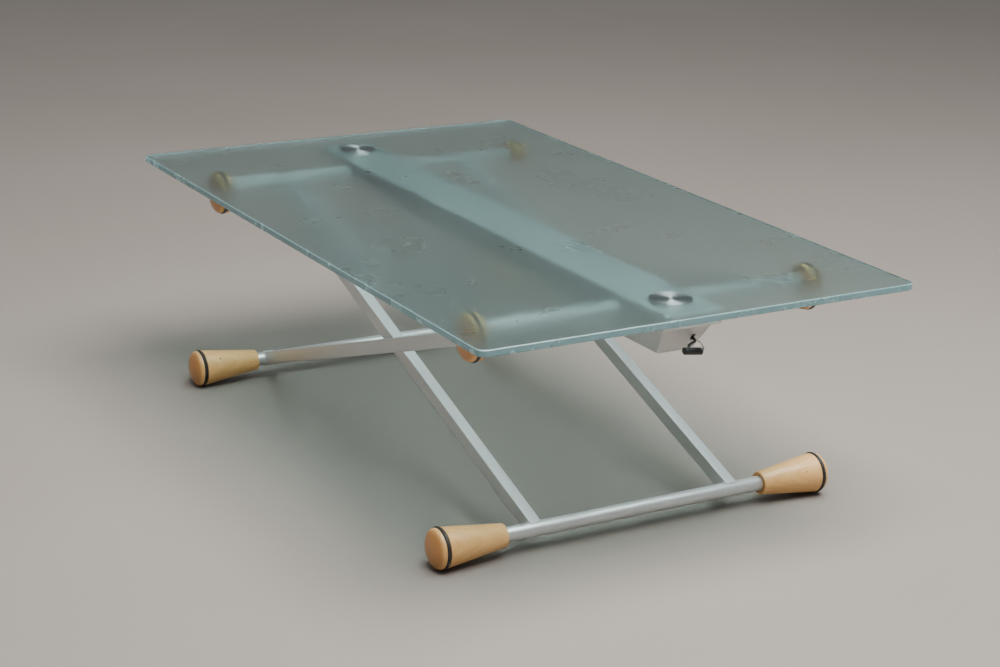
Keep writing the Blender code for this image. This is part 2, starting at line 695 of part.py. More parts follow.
def release_arm():
    """Bell crank beside the pivot: eye, tail down to the release rod, bent bar out to the grip."""
    eye = LEVER_EYE_RADIUS
    outline = []
    for step in range(7):
        angle = radians(30 * step)
        outline.append((LEVER_X + eye * cos(angle), LEVER_Z + eye * sin(angle)))
    tail_z = RELEASE_ROD_Z - TAIL_BELOW_ROD
    outline += [(TAIL_X - TAIL_HALF, tail_z), (TAIL_X + TAIL_HALF, tail_z)]
    outline += [(LEVER_X + TAIL_OFFSET, LEVER_Z - eye)]
    loops = [[(x, y, z) for x, z in outline] for y in (ARM_Y - ARM_WIDTH / 2, ARM_Y + ARM_WIDTH / 2)]
    arm = add_object("release_arm", loft(loops), "black_plastic")
    join_z = grip_height(ARM_JOIN_Y) + GRIP_RADIUS + GAP
    spine = smooth_path(
        [
            (LEVER_X + LEVER_PIN_RADIUS + 0.0012, ARM_Y, LEVER_Z),
            (LEVER_X + 0.0120, ARM_Y, LEVER_Z - 0.0025),
            (GRIP_X - 0.0150, ARM_Y + 0.0005, LEVER_Z - 0.0050),
            (GRIP_X - 0.0085, ARM_Y - 0.0035, LEVER_Z - 0.0052),
            (GRIP_X - 0.0040, ARM_Y - 0.0125, LEVER_Z - 0.0057),
            (GRIP_X - 0.0010, ARM_JOIN_Y + 0.0010, join_z + 0.0025),
            (GRIP_X, ARM_JOIN_Y, join_z + 0.0004),
        ],
        3,
    )
    loops = []
    for index, point in enumerate(spine):
        before, after = spine[max(index - 1, 0)], spine[min(index + 1, len(spine) - 1)]
        tangent = (after - before).normalized()
        across = Vector((-tangent.y, tangent.x, 0)).normalized() * (ARM_WIDTH / 2 - 0.0003)
        raised = tangent.cross(across).normalized() * (ARM_THICK / 2)
        row = [point + across + raised, point - across + raised]
        loops.append(row + [point - across - raised, point + across - raised])
    cut(arm, loft(loops), "UNION")
    start, end = (LEVER_X, ARM_Y - ARM_WIDTH, LEVER_Z), (LEVER_X, ARM_Y + ARM_WIDTH, LEVER_Z)
    cut(arm, rod_shape(start, end, LEVER_PIN_RADIUS + RUNNING))


def grip_height(y):
    """Height of the tilted grip's middle line."""
    return GRIP_Z - (y - GRIP_Y) * tan(GRIP_TILT)


def release_grip():
    """Plain round grip with chamfered ends, its free end a little lower."""
    end, chamfer = -GRIP_LENGTH / 2, 0.001
    profile = [(end, 0), (end, GRIP_RADIUS - chamfer), (end + chamfer, GRIP_RADIUS)]
    profile += [(-along, radius) for along, radius in profile[::-1]]
    shape = lathe(profile, (0, 0, 0), 1, 20)
    bmesh.ops.rotate(shape, verts=shape.verts, cent=(0, 0, 0), matrix=Matrix.Rotation(-GRIP_TILT, 3, "X"))
    bmesh.ops.translate(shape, verts=shape.verts, vec=(GRIP_X, GRIP_Y, GRIP_Z))
    add_object("release_grip", shape, "black_plastic", smooth=True)


def release_bail():
    """Chrome wire from beside the arm's bend to the free end of the grip."""
    along = Vector((0, cos(GRIP_TILT), -sin(GRIP_TILT)))
    tip = Vector((GRIP_X, GRIP_Y, GRIP_Z)) + along * (GRIP_LENGTH / 2 + GAP)
    route = [
        (GRIP_X - 0.0100, ARM_Y + ARM_WIDTH / 2 + BAIL_RADIUS + GAP, LEVER_Z - 0.0060),
        (GRIP_X - 0.0050, ARM_Y + 0.0050, LEVER_Z - 0.0080),
        (GRIP_X - 0.0005, tip.y + 0.0030, tip.z + 0.0045),
        tip + along * 0.0028 + Vector((0, 0, 0.0012)),
        tip + along * 0.0018,
        tip,
    ]
    add_object("release_bail", sweep(smooth_path(route, 3), BAIL_RADIUS, 6), "chrome", smooth=True)


def release_pivot():
    half = beam_inner_half(LEVER_Z) - 0.0006
    shape = rod_shape((LEVER_X, -half, LEVER_Z), (LEVER_X, half, LEVER_Z), LEVER_PIN_RADIUS, 16)
    add_object("release_pivot", shape, "zinc_steel", smooth=True)


def release_rod():
    """Thin rod under the bearing block that works the gas spring's valve."""
    start = TAIL_X - TAIL_HALF - RELEASE_ROD_PLAY
    under_valve = SPRING_TAIL + 0.007
    route = [(start, ARM_Y, RELEASE_ROD_Z), (start - 0.02, ARM_Y * 0.7, RELEASE_ROD_Z)]
    route += [(under_valve + 0.05, 0, RELEASE_ROD_Z), (under_valve + 0.008, 0, RELEASE_ROD_Z)]
    route += [(under_valve + 0.001, 0, RELEASE_ROD_Z + 0.003)]
    route += [(under_valve, 0, TOP_Z - SPRING_ROD_RADIUS - 0.004)]
    add_object("release_rod", sweep(smooth_path(route, 3), RELEASE_ROD_RADIUS, 6), "zinc_steel", smooth=True)


def cut_lever_opening(plate):
    """Slot in the near end plate for the arm, tall enough for the lever's swing."""
    side, z_low, z_high = ARM_WIDTH / 2 + ARM_OPENING, LEVER_Z - 0.0080, LEVER_Z + 0.0032
    cut(plate, box_shape((LEVER_X + 0.002, ARM_Y - side, z_low), (LEVER_X + 0.05, ARM_Y + side, z_high)))


def hang_on_hub(names, hub):
    """Move finished objects' origins onto a joint axis."""
    for name in names:
        item = bpy.data.objects[name]
        item.data.transform(Matrix.Translation(-Vector(HUBS[hub])))
        item.parent = bpy.data.objects["hub_" + hub]


def main():
    clear_scene()
    make_hubs()
    cross_tubes_and_axles()
    wheels_and_rollers()
    legs()
    pivots()
    glass_top()
    glass_fixings()
    beam_channel()
    beam_top_plate()
    beam_end_plate("far_end_plate", -1)
    cut_lever_opening(beam_end_plate("near_end_plate", 1))
    tube_blocks()
    gas_spring()
    release_arm()
    release_grip()
    release_bail()
    release_pivot()
    release_rod()
    hang_on_hub(["beam_channel", "beam_top_plate", "far_end_plate", "near_end_plate"], "near_top")
    hang_on_hub(["near_bearing_block", "spring_cylinder", "spring_anchor"], "near_top")
    hang_on_hub(["far_slider_block", "spring_rod"], "far_top")
    hang_on_hub(["release_arm", "release_grip", "release_bail", "release_pivot", "release_rod"], "lever")


main()
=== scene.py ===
"""Looks of the scissor table: detailed meshes, materials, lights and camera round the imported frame.

Metres, +Z up, X along the table with the release lever at +X, origin on the floor under the glass.
"""

import json
from math import atan2, cos, pi, radians, sin, sqrt, tan

import bmesh
import bpy
from mathutils import Matrix, Vector


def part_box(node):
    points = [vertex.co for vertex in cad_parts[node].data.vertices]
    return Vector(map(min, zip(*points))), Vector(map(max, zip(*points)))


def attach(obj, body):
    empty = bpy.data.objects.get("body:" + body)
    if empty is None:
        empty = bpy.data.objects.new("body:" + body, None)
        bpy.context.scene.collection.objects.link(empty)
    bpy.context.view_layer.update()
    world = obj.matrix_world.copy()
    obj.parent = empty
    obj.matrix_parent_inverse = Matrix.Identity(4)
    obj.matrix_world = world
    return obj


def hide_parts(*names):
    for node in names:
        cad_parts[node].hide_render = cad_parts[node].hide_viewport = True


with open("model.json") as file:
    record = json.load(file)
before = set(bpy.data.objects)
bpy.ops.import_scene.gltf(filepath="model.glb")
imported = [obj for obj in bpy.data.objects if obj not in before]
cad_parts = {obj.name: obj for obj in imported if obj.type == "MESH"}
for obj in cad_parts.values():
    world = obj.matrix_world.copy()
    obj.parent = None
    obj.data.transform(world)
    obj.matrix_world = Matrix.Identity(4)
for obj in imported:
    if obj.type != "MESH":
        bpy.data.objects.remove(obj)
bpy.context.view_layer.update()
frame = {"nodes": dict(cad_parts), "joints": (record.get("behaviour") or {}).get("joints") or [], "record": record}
RECORD = frame["record"]
BODY_OF = {node: body for body, nodes in RECORD["behaviour"]["bodies"].items() for node in nodes}
SLOT_OF = {part["node"]: part["material_slot"] for part in RECORD["subparts"]}
REPLACED = set()

ENDS = ("far", "near")
SIDES = {"left": -1, "right": 1}
TURNED_SIDES = 96

# Glass
GLASS_CORNER = 0.015
GLASS_ARRIS = 0.0010
BOND_DEPTH = 0.00005
DISC_THICK = 0.0050
STUD_RADIUS = 0.0050
STUD_HOLE = 0.0053

# Wheels and rollers, measured from the plane of the rubber ring, outwards along the axle
RING_WIRE = 0.0030
GROOVE_HALF = 0.0034
RIM_STEP = 0.0012
CONE_BIG_RADIUS = 0.0312
CONE_SMALL_RADIUS = 0.0180
CONE_SOCKET = 0.0150
SOCKET_RADIUS = 0.0126
BORE_END = 0.0040
BORE_RADIUS = 0.0096
DOME_HEIGHT = 0.0120
ROLLER_FACE_STEP = 0.0025
PIN_HOLE = 0.0023

# Frame
TUBE_WALL = 0.0020
AXLE_WALL = 0.0015
LEG_HEIGHT = 0.0235
LEG_WALL = 0.0020
LEG_CORNER = 0.0026
COPE_GAP = 0.0002
WELD_RADIUS = 0.0015
BOLT_SHANK = 0.0060
BOLT_CLEARANCE = 0.0004
BOLT_HEAD = 0.0040
BOLT_REACH = 0.0150
SOCKET_ACROSS = 0.0030
SOCKET_DEPTH = 0.0026

# Beam
BEAM_HALF_TOP = 0.0490
BEAM_HALF_BOTTOM = 0.0310
BEAM_DEPTH = 0.0685
BEAM_END_TOP = 0.5620
BEAM_END_BOTTOM = 0.5155
BEAM_SHEET = 0.0025
BEND_RADIUS = 0.0045
TUBE_HOLE_GAP = 0.0010
SLOT_MARGIN = 0.0020
TOP_PLATE_THICK = 0.0030
TOP_PLATE_FILLET = 0.0036
END_PLATE_GAP = 0.0003

# Gas spring
SPRING_WALL = 0.0015
SPRING_BORE = 0.0044
SPRING_BOTTOM = 0.0150
SPRING_GUIDE = 0.0120

# Release lever
ARM_WIDTH = 0.0040
ARM_THICK = 0.0032
ARM_JOIN_Y = 0.0010
EYE_RADIUS = 0.0050
EYE_HOLE = 0.0024
TAIL_HALF = 0.0015
TAIL_OFFSET = 0.0035
BAIL_RADIUS = 0.0010
GRIP_TILT = radians(8)
GRIP_RADIUS = 0.0055
GRIP_LENGTH = 0.0320

# Camera: lens and sensor in mm, angles in degrees
CAMERA_LENS = 79.21
CAMERA_SENSOR = 36.0
CAMERA_TURN = -30.8941
CAMERA_HEIGHT = 18.1340
CAMERA_ROLL = 1.8579
CAMERA_PLACE = (2.98583, -1.77297, 1.31881)


def centre(node):
    low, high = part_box(node)
    return (low + high) / 2


def half(node):
    low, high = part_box(node)
    return (high - low) / 2


# ---- shapes -------------------------------------------------------------------------------------


def outline(corners, steps=4, loop=False):
    """Points of a profile. Each corner is (x, y) or (x, y, fillet); a fillet is rounded off in steps."""
    count = len(corners)
    points = []
    for index, corner in enumerate(corners):
        here = Vector(corner[:2])
        inside = loop or 0 < index < count - 1
        if len(corner) == 2 or not inside:
            points.append(here)
            continue
        back = Vector(corners[index - 1][:2]) - here
        ahead = Vector(corners[(index + 1) % count][:2]) - here
        reach = min(corner[2], back.length * 0.48, ahead.length * 0.48)
        start, end = here + back.normalized() * reach, here + ahead.normalized() * reach
        for step in range(steps + 1):
            t = step / steps
            points.append(start * (1 - t) ** 2 + here * (2 * t * (1 - t)) + end * t**2)
    return points


def skin(shape, rows, loop=False, caps=False):
    """Faces between neighbouring rows of vertices; a row of one vertex is a pole."""
    pairs = list(zip(rows, rows[1:]))
    if loop:
        pairs.append((rows[-1], rows[0]))
    for first, second in pairs:
        count = max(len(first), len(second))
        for step in range(count):
            after = (step + 1) % count
            corners = [first[step % len(first)]]
            if len(first) > 1:
                corners.append(first[after])
            if len(second) > 1:
                corners.append(second[after])
            corners.append(second[step % len(second)])
            shape.faces.new(corners)
    if caps:
        shape.faces.new(rows[0])
        shape.faces.new(rows[-1][::-1])
    return shape


def turned(profile, place, axis, loop=False, sides=TURNED_SIDES):
    """Turn (distance along axis, radius) points about the line through place."""
    axis = Vector(axis).normalized()
    across = Vector((0, 0, 1)) if abs(axis.z) < 0.5 else Vector((1, 0, 0))
    along = axis.cross(across)
    shape = bmesh.new()
    rows = []
    for distance, radius in profile:
        middle = Vector(place) + axis * distance
        if radius == 0:
            rows.append([shape.verts.new(middle)])
            continue
        row = []
        for step in range(sides):
            angle = 2 * pi * step / sides
            row.append(shape.verts.new(middle + (across * cos(angle) + along * sin(angle)) * radius))
        rows.append(row)
    return skin(shape, rows, loop)


def loft(loops, caps=True, loop=False):
    shape = bmesh.new()
    rows = [[shape.verts.new(point) for point in row] for row in loops]
    return skin(shape, rows, loop, caps)


def swept(path, radius, sides=16, closed=False, ripple=None):
    """Round bar along a path. ripple(index) may scale its radius."""
    shape = bmesh.new()
    rows = []
    count = len(path)
    side = Vector((0, 1, 0.01)).normalized()
    for index, point in enumerate(path):
        if closed:
            before, after = path[index - 1], path[(index + 1) % count]
        else:
            before, after = path[max(index - 1, 0)], path[min(index + 1, count - 1)]
        tangent = (after - before).normalized()
        side = (side - tangent * side.dot(tangent)).normalized()
        up = tangent.cross(side)
        reach = radius * (ripple(index) if ripple else 1)
        row = []
        for step in range(sides):
            angle = 2 * pi * step / sides
            row.append(shape.verts.new(point + (side * cos(angle) + up * sin(angle)) * reach))
        rows.append(row)
    return skin(shape, rows, loop=closed, caps=not closed)


def smooth_path(points, steps=10):
    """Catmull-Rom curve through the points."""
    points = [Vector(point) for point in points]
    padded = [points[0] * 2 - points[1]] + points + [points[-1] * 2 - points[-2]]
    path = []
    for a, b, c, d in zip(padded, padded[1:], padded[2:], padded[3:]):
        for step in range(steps):
            t = step / steps
            square, cube = 2 * a - 5 * b + 4 * c - d, 3 * b - a - 3 * c + d
            path.append((2 * b + (c - a) * t + square * t**2 + cube * t**3) / 2)
    return path + [points[-1]]


def rod(start, end, radius, sides=48):
    """Plain round bar, used as a cutter."""
    start, end = Vector(start), Vector(end)
    return turned([(0, 0), (0, radius), ((end - start).length, radius), ((end - start).length, 0)],
                  start, end - start, sides=sides)


def box(low, high):
    shape = bmesh.new()
    low, high = Vector(low), Vector(high)
    place = Matrix.Translation((low + high) / 2) @ Matrix.Diagonal((*(high - low), 1))
    bmesh.ops.create_cube(shape, size=1.0, matrix=place)
    return shape


# ---- materials ----------------------------------------------------------------------------------


class Graph:
    """A small helper that builds one node material."""

    def __init__(self, name):
        self.material = bpy.data.materials.new(name)
        self.material.use_nodes = True
        self.tree = self.material.node_tree
        self.shader = self.tree.nodes["Principled BSDF"]
        self.coordinates = self.tree.nodes.new("ShaderNodeTexCoord")

    def node(self, kind, **settings):
        made = self.tree.nodes.new("ShaderNode" + kind)
        for key, value in settings.items():
            setattr(made, key, value)
        return made

    def link(self, source, target):
        self.tree.links.new(source, target)

    def mapped(self, scale=(1, 1, 1), shift=(0, 0, 0)):
        mapping = self.node("Mapping")
        mapping.inputs["Scale"].default_value = scale
        mapping.inputs["Location"].default_value = shift
        self.link(self.coordinates.outputs["Object"], mapping.inputs["Vector"])
        return mapping.outputs["Vector"]

    def noise(self, scale, detail=2.0, vector=None, roughness=0.5):
        made = self.node("TexNoise")
        made.inputs["Scale"].default_value = scale
        made.inputs["Detail"].default_value = detail
        made.inputs["Roughness"].default_value = roughness
        self.link(vector or self.mapped(), made.inputs["Vector"])
        return made.outputs["Fac"]

    def ramp(self, source, low, high, dark, light):
        """Colour ramp from dark at low to light at high."""
        made = self.node("ValToRGB")
        made.color_ramp.elements[0].position = low
        made.color_ramp.elements[1].position = high
        made.color_ramp.elements[0].color = (*dark, 1)
        made.color_ramp.elements[1].color = (*light, 1)
        self.link(source, made.inputs["Fac"])
        return made.outputs["Color"]

    def span(self, source, low, high, start, end):
        made = self.node("MapRange")
        made.inputs["From Min"].default_value = low
        made.inputs["From Max"].default_value = high
        made.inputs["To Min"].default_value = start
        made.inputs["To Max"].default_value = end
        self.link(source, made.inputs["Value"])
        return made.outputs["Result"]

    def math(self, operation, first, second):
        made = self.node("Math", operation=operation)
        for socket, value in zip(made.inputs, (first, second)):
            if isinstance(value, (int, float)):
                socket.default_value = value
            else:
                self.link(value, socket)
        return made.outputs[0]

    def mix(self, factor, first, second):
        made = self.node("Mix", data_type="RGBA", blend_type="MIX")
        for socket, value in zip((made.inputs[0], made.inputs[6], made.inputs[7]), (factor, first, second)):
            if isinstance(value, (int, float)):
                socket.default_value = value
            elif isinstance(value, tuple):
                socket.default_value = (*value, 1)
            else:
                self.link(value, socket)
        return made.outputs[2]

    def bump(self, height, strength, distance):
        made = self.node("Bump")
        made.inputs["Strength"].default_value = strength
        made.inputs["Distance"].default_value = distance
        self.link(height, made.inputs["Height"])
        return made.outputs["Normal"]

    def set(self, **values):
        """Put numbers or links on the shader; underscores stand for spaces in a socket's name."""
        for key, value in values.items():
            socket = self.shader.inputs[key.replace("_", " ")]
            if isinstance(value, (int, float)):
                socket.default_value = value
            elif isinstance(value, tuple):
                socket.default_value = (*value, 1)
            else:
                self.link(value, socket)
        return self.material


def speckled(name, dark, light, scale, roughness, metallic=0.0, grain=1200, strength=0.05, **more):
    """Common base: blotchy colour, uneven roughness and a fine surface grain."""
    graph = Graph(name)
    blotch = graph.noise(scale, 3)
    color = graph.ramp(blotch, 0.3, 0.7, dark, light)
    gloss = graph.span(graph.noise(scale * 2.3, 4), 0.25, 0.75, *roughness)
    normal = graph.bump(graph.noise(grain, 2), strength, 0.0002)
    return graph.set(Base_Color=color, Roughness=gloss, Metallic=metallic, Normal=normal, **more)


def beech():
    """Lacquered beech turned along Y: growth rings round a pith line, fine rays, darker end grain."""
    graph = Graph("beech")
    rings = graph.node("TexWave", wave_type="RINGS", rings_direction="Y", wave_profile="SAW")
    rings.inputs["Scale"].default_value = 62
    rings.inputs["Distortion"].default_value = 2.2
    rings.inputs["Detail"].default_value = 2
    rings.inputs["Detail Scale"].default_value = 0.35
    graph.link(graph.mapped((1, 0.10, 1), (0.052, 0, 0.031)), rings.inputs["Vector"])
    fibres = graph.noise(700, 4, graph.mapped((1, 0.035, 1)), 0.6)
    rays = graph.noise(900, 1, graph.mapped((1, 0.16, 0.45)))
    flecks = graph.span(rays, 0.62, 0.70, 0, 1)
    tone = graph.noise(16, 2, graph.mapped((1, 0.3, 1)))
    color = graph.mix(rings.outputs["Fac"], (0.740, 0.380, 0.115), (0.820, 0.460, 0.165))
    color = graph.mix(graph.span(fibres, 0.35, 0.75, 0, 0.35), color, (0.640, 0.300, 0.085))
    color = graph.mix(graph.math("MULTIPLY", flecks, 0.45), color, (0.500, 0.215, 0.055))
    color = graph.mix(graph.span(tone, 0.3, 0.7, 0.0, 0.40), color, (0.850, 0.500, 0.200))
    facing = graph.node("SeparateXYZ")
    graph.link(graph.coordinates.outputs["Normal"], facing.inputs[0])
    end_grain = graph.span(graph.math("ABSOLUTE", facing.outputs["Y"], 0), 0.55, 0.90, 0, 0.75)
    color = graph.mix(end_grain, color, (0.450, 0.165, 0.038))
    gloss = graph.span(fibres, 0.3, 0.7, 0.36, 0.50)
    normal = graph.bump(fibres, 0.10, 0.0002)
    return graph.set(Base_Color=color, Roughness=gloss, Normal=normal, Coat_Weight=0.30, Coat_Roughness=0.22)


def rubber():
    """Moulded O-ring rubber with a faint bloom."""
    graph = Graph("rubber")
    bloom = graph.noise(260, 3)
    color = graph.ramp(bloom, 0.35, 0.70, (0.016, 0.015, 0.015), (0.034, 0.031, 0.030))
    gloss = graph.span(bloom, 0.3, 0.7, 0.45, 0.62)
    normal = graph.bump(graph.noise(1900, 2), 0.18, 0.0002)
    return graph.set(Base_Color=color, Roughness=gloss, Normal=normal)


def silver_paint():
    """Satin silver paint: fine metal flake under a thin clear coat, with a little orange peel."""
    graph = Graph("silver_paint")
    flake = graph.node("TexVoronoi", feature="F1")
    flake.inputs["Scale"].default_value = 2600
    graph.link(graph.mapped(), flake.inputs["Vector"])
    sparkle = graph.node("SeparateColor")
    graph.link(flake.outputs["Color"], sparkle.inputs[0])
    color = graph.ramp(sparkle.outputs[0], 0.0, 1.0, (0.56, 0.553, 0.54), (0.72, 0.712, 0.70))
    gloss = graph.span(graph.noise(24, 4), 0.3, 0.7, 0.34, 0.42)
    normal = graph.bump(graph.noise(330, 2), 0.10, 0.0002)
    return graph.set(Base_Color=color, Roughness=gloss, Metallic=0.55, Normal=normal,
                     Coat_Weight=0.10, Coat_Roughness=0.30)


def brushed_steel():
    """Face-turned stainless steel: fine concentric marks that stretch the highlight across the disc."""
    graph = Graph("brushed_steel")
    marks = graph.node("TexWave", wave_type="RINGS", rings_direction="Z", wave_profile="SIN")
    marks.inputs["Scale"].default_value = 420
    marks.inputs["Distortion"].default_value = 1.5
    marks.inputs["Detail"].default_value = 2
    graph.link(graph.mapped(), marks.inputs["Vector"])
    color = graph.mix(marks.outputs["Fac"], (0.72, 0.65, 0.65), (0.86, 0.78, 0.78))
    gloss = graph.span(marks.outputs["Fac"], 0, 1, 0.42, 0.50)
    normal = graph.bump(marks.outputs["Fac"], 0.06, 0.0001)
    tangent = graph.node("Tangent", direction_type="RADIAL", axis="Z")
    graph.link(tangent.outputs[0], graph.shader.inputs["Tangent"])
    return graph.set(Base_Color=color, Roughness=gloss, Metallic=1.0, Normal=normal,
                     Anisotropic=0.97, Anisotropic_Rotation=0.25)


def frosted_glass(name, roughness, grain, ior=1.50, tint=(0.60, 0.79, 0.78)):
    """Tinted glass of an even gloss with a very fine grain."""
    graph = Graph(name)
    gloss = graph.span(graph.noise(9, 3), 0.3, 0.7, roughness * 0.9, roughness * 1.1)
    normal = graph.bump(graph.noise(1600, 2), grain, 0.0001)
    return graph.set(Base_Color=tint, Roughness=gloss, Normal=normal, Transmission_Weight=1.0, IOR=ior)


def ground_edge_with_painted_glow():
    """The ground and polished rim: a green base that is partly the glass's own tint and partly painted light,
    standing in for light carried inside the glass and let out at the rim.
    """
    graph = Graph("edge_glass")
    cloud = graph.noise(30, 3)
    gloss = graph.span(cloud, 0.3, 0.7, 0.20, 0.30)
    # painted glow: this lighter green stands in for light carried inside the glass and scattered out at the rim;
    # the green hue is the glass's own tint
    color = graph.ramp(cloud, 0.3, 0.7, (0.27, 0.49, 0.51), (0.32, 0.55, 0.56))
    return graph.set(Base_Color=color, Roughness=gloss, Transmission_Weight=0.55, IOR=1.50)


def clear_pad():
    graph = Graph("clear_pad")
    cloud = graph.noise(140, 2)
    gloss = graph.span(cloud, 0.3, 0.7, 0.01, 0.03)
    color = graph.ramp(cloud, 0.3, 0.7, (0.93, 0.94, 0.94), (0.97, 0.98, 0.98))
    return graph.set(Base_Color=color, Roughness=gloss, Transmission_Weight=1.0, IOR=1.03)


LOOKS = {
    "beech": beech(),
    "rubber": rubber(),
    "silver_paint": silver_paint(),
    "brushed_steel": brushed_steel(),
    "frosted_glass": frosted_glass("frosted_glass", 0.10, 0.02),
    "etched_glass": frosted_glass("etched_glass", 0.29, 0.12),
    "bonded_glass": frosted_glass("bonded_glass", 0.01, 0.0, 1.03, (0.97, 0.99, 0.99)),
    "edge_glass": ground_edge_with_painted_glow(),
    "clear_pad": clear_pad(),
    "zinc_steel": speckled("zinc_steel", (0.40, 0.41, 0.43), (0.56, 0.57, 0.57), 60, (0.28, 0.44),
                           metallic=1.0, grain=900),
    "chrome": speckled("chrome", (0.68, 0.69, 0.70), (0.76, 0.77, 0.78), 30, (0.06, 0.13),
                       metallic=1.0, grain=500, strength=0.02),
    "black_plastic": speckled("black_plastic", (0.012, 0.012, 0.013), (0.022, 0.022, 0.023), 80, (0.38, 0.52),
                              grain=1500, strength=0.22),
    "black_paint": speckled("black_paint", (0.014, 0.014, 0.015), (0.022, 0.022, 0.023), 40, (0.26, 0.36),
                            grain=420, strength=0.08, Coat_Weight=0.4, Coat_Roughness=0.15),
    "nylon": speckled("nylon", (0.66, 0.66, 0.63), (0.74, 0.74, 0.71), 50, (0.42, 0.56),
                      grain=800, strength=0.12),
}


# ---- placing pieces -----------------------------------------------------------------------------


def add(name, shape, node, also=(), origin=None, bevel=0.0, sharp=30):
    """Turn a bmesh into a piece that stands for a CAD node, and rides and is finished as it is."""
    bmesh.ops.recalc_face_normals(shape, faces=shape.faces)
    mesh = bpy.data.meshes.new(name)
    shape.to_mesh(mesh)
    shape.free()
    origin = Vector(origin or (0, 0, 0))
    mesh.transform(Matrix.Translation(-origin))
    mesh.materials.append(LOOKS[SLOT_OF[node]])
    mesh.shade_smooth()
    mesh.set_sharp_from_angle(angle=radians(sharp))
    piece = bpy.data.objects.new(name, mesh)
    bpy.context.scene.collection.objects.link(piece)
    piece.location = origin
    if bevel:
        step = piece.modifiers.new("edges", "BEVEL")
        step.width = bevel
        step.segments = 3
        step.limit_method = "ANGLE"
        step.angle_limit = radians(35)
        step.harden_normals = True
    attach(piece, BODY_OF[node])
    if node not in REPLACED:
        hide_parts(node, *also)
        REPLACED.update((node, *also))
    return piece


def cut(piece, tools):
    """Subtract closed shapes, given in the frame, from a piece; its bevel then follows the new edges."""
    for tool in tools:
        bmesh.ops.recalc_face_normals(tool, faces=tool.faces)
        mesh = bpy.data.meshes.new("cutter")
        tool.to_mesh(mesh)
        tool.free()
        cutter = bpy.data.objects.new("cutter", mesh)
        bpy.context.scene.collection.objects.link(cutter)
        step = piece.modifiers.new("cut", "BOOLEAN")
        step.operation = "DIFFERENCE"
        step.solver = "EXACT"
        step.object = cutter
        later = [m for m in piece.modifiers if m != step]
        shown = [m.show_viewport for m in later]
        for m in later:
            m.show_viewport = False
        graph = bpy.context.evaluated_depsgraph_get()
        shaped = bpy.data.meshes.new_from_object(piece.evaluated_get(graph), depsgraph=graph)
        piece.modifiers.remove(step)
        for m, state in zip(later, shown):
            m.show_viewport = state
        piece.data = shaped
        bpy.data.objects.remove(cutter, do_unlink=True)
    piece.data.shade_smooth()
    piece.data.set_sharp_from_angle(angle=radians(30))


# ---- glass --------------------------------------------------------------------------------------


def glass_plate():
    """Frosted on top, etched below, ground at the rim with a painted glow, and clear over the two bonded discs."""
    low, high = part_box("glass_top")
    half_x, half_y = high.x, high.y
    loops = []
    levels = [(GLASS_ARRIS, low.z), (0, low.z + GLASS_ARRIS)]
    levels += [(0, high.z - GLASS_ARRIS), (GLASS_ARRIS, high.z)]
    for inset, z in levels:
        x, y = half_x - inset, half_y - inset
        corners = [(-x, -y, GLASS_CORNER), (x, -y, GLASS_CORNER), (x, y, GLASS_CORNER), (-x, y, GLASS_CORNER)]
        loops.append([(*point, z) for point in outline(corners, 12, loop=True)])
    plate = add("glass_plate", loft(loops), "glass_top")
    tools = []
    for end in ENDS:
        x, reach = centre(end + "_glass_disc").x, half(end + "_glass_disc").x
        tools.append(rod((x, 0, low.z - 0.01), (x, 0, low.z + BOND_DEPTH), reach, 128))
    cut(plate, tools)
    for look in ("etched_glass", "edge_glass", "bonded_glass"):
        plate.data.materials.append(LOOKS[look])
    for face in plate.data.polygons:
        if face.normal.z < -0.9:
            face.material_index = 3 if face.center.z > low.z + BOND_DEPTH / 2 else 1
        elif face.normal.z < 0.9:
            face.material_index = 2


def glass_discs():
    """Turned steel disc bonded under the glass by a clear layer, with its stud."""
    for end in ENDS:
        node = end + "_glass_disc"
        low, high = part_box(node)
        pad_low, pad_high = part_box(end + "_disc_pad")
        reach = half(node).x
        under = high.z - DISC_THICK
        corners = [(low.z, 0), (low.z, STUD_RADIUS, 0.0006), (under, STUD_RADIUS), (under, reach, 0.0003)]
        corners += [(high.z, reach, 0.0003), (high.z, reach - 0.0010), (high.z, 0)]
        x = centre(node).x
        shape = turned(outline(corners), (x, 0, 0), (0, 0, 1), sides=128)
        add(end + "_disc_cap", shape, node, origin=(x, 0, high.z))
        edge = half(end + "_disc_pad").x
        corners = [(pad_low.z, 0), (pad_low.z, edge, 0.0001), (pad_high.z, edge, 0.0001), (pad_high.z, 0)]
        shape = turned(outline(corners), (x, 0, 0), (0, 0, 1), sides=128)
        add(end + "_clear_pad", shape, end + "_disc_pad", origin=(x, 0, pad_low.z))


# ---- wheels and rollers -------------------------------------------------------------------------


def rim():
    """Ring groove and domed outer end, from the groove outwards."""
    seat = CONE_BIG_RADIUS - 0.0048
    corners = [(-GROOVE_HALF, CONE_BIG_RADIUS, 0.0008), (-GROOVE_HALF, seat, 0.0012)]
    corners += [(GROOVE_HALF, seat, 0.0012), (GROOVE_HALF, CONE_BIG_RADIUS - 0.0002, 0.0005)]
    corners += [(GROOVE_HALF + RIM_STEP, CONE_BIG_RADIUS - 0.0004)]
    return corners


def dome():
    """The domed end, as a quarter of a squarish ellipse."""
    start, radius = GROOVE_HALF + RIM_STEP, CONE_BIG_RADIUS - 0.0006
    points = []
    for step in range(1, 17):
        angle = pi / 2 * step / 16
        edge = 0 if step == 16 else radius * cos(angle)
        points.append((start + DOME_HEIGHT * sin(angle), edge))
    return points


def rubber_ring(name, node, place, side):
    """O-ring of round section."""
    outer = half(node).z
    middle = outer - RING_WIRE
    profile = []
    for step in range(20):
        angle = 2 * pi * step / 20
        profile.append((RING_WIRE * sin(angle), middle + RING_WIRE * cos(angle)))
    add(name, turned(profile, place, (0, side, 0), loop=True), node, origin=place)


